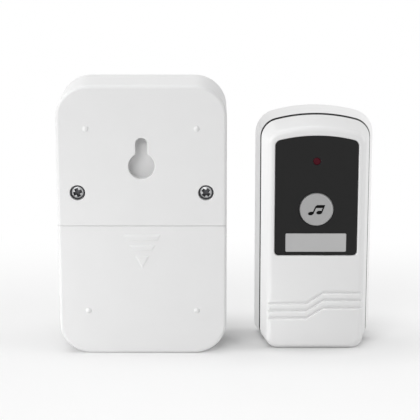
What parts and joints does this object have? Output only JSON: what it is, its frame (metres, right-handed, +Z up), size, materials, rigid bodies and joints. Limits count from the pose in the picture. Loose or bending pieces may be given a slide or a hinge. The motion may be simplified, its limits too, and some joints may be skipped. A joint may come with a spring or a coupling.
{
  "type": "wireless doorbell",
  "caption": "Wireless doorbell set: upright battery chime with keyhole back, sliding battery door and sound grille, and a tapered wall bell push with black panel and round button.",
  "frame": {"origin": "on the floor, midway across the width and the depth of the two units as they stand", "axes": "+X to the right, +Y away from the viewer, +Z up; the chime's back and the bell push's front face -Y"},
  "size_m": [0.1293, 0.0304, 0.1112],
  "materials": {
    "casing_white": "fine satin moulded ABS",
    "panel_black": "semi-gloss black moulding",
    "button_grey": "satin mid grey moulding",
    "lamp_red": "dark red clear epoxy lamp",
    "name_silver": "fine brushed silver plate",
    "seal_rubber": "matte black rubber",
    "foam_black": "open foam",
    "screw_steel": "bright zinc plated steel",
    "contact_steel": "nickel plated spring steel",
    "board_green": "green solder mask on glass fibre board",
    "part_black": "black moulded component",
    "copper_wire": "enamelled copper wire",
    "cell_jacket": "printed film jacket over the can",
    "magnet_grey": "bare ferrite",
    "cone_paper": "black pressed paper",
    "lead_red": "red insulated wire",
    "lead_black": "black insulated wire"
  },
  "bodies": {
    "chime": {"chime_rear_housing": "casing_white", "case_screws": "screw_steel", "chime_front_cover": "casing_white", "aa_cells": "cell_jacket", "contact_plates": "contact_steel", "contact_springs": "contact_steel", "chime_board": "board_green", "board_screws": "screw_steel", "sound_chip": "part_black", "radio_module": "board_green", "antenna_coil": "copper_wire", "chime_capacitor": "part_black", "speaker_basket": "contact_steel", "speaker_magnet": "magnet_grey", "speaker_cone": "cone_paper", "speaker_gasket": "foam_black", "speaker_screws": "screw_steel", "speaker_leads": "lead_red", "battery_leads": "lead_black", "tune_switch": "part_black"},
    "battery_door": {"battery_door": "casing_white"},
    "tune_button": {"tune_button": "button_grey", "tune_plunger": "part_black"},
    "push_base": {"push_base": "casing_white", "weather_seal": "seal_rubber"},
    "push_front": {"push_housing": "casing_white", "fascia": "panel_black", "push_led": "lamp_red", "name_plate": "name_silver", "push_board": "board_green", "push_board_screws": "screw_steel", "bell_switch": "part_black", "push_battery": "cell_jacket", "push_contacts": "contact_steel", "push_contact_spring": "contact_steel", "resonator": "contact_steel", "encoder_chip": "part_black"},
    "bell_button": {"bell_button": "button_grey", "bell_plunger": "part_black"}
  },
  "joints": [
    {"name": "battery_door_slide", "type": "slide", "parent": "chime", "child": "battery_door", "axis": [0, 0, -1], "range_m": [0, 0.058]},
    {"name": "tune_press", "type": "slide", "parent": "chime", "child": "tune_button", "axis": [1, 0, 0], "range_m": [0, 0.0008], "stiffness_N_per_m": 1500, "springref_m": -0.0006},
    {"name": "units_apart", "type": "slide", "parent": "chime", "child": "push_base", "axis": [1, 0, 0], "range_m": [0, 0.1]},
    {"name": "push_front_pull", "type": "slide", "parent": "push_base", "child": "push_front", "axis": [0, -1, 0], "range_m": [0, 0.025]},
    {"name": "bell_press", "type": "slide", "parent": "push_front", "child": "bell_button", "axis": [0, 1, 0], "range_m": [0, 0.0008], "stiffness_N_per_m": 2000, "springref_m": -0.0006}
  ]
}
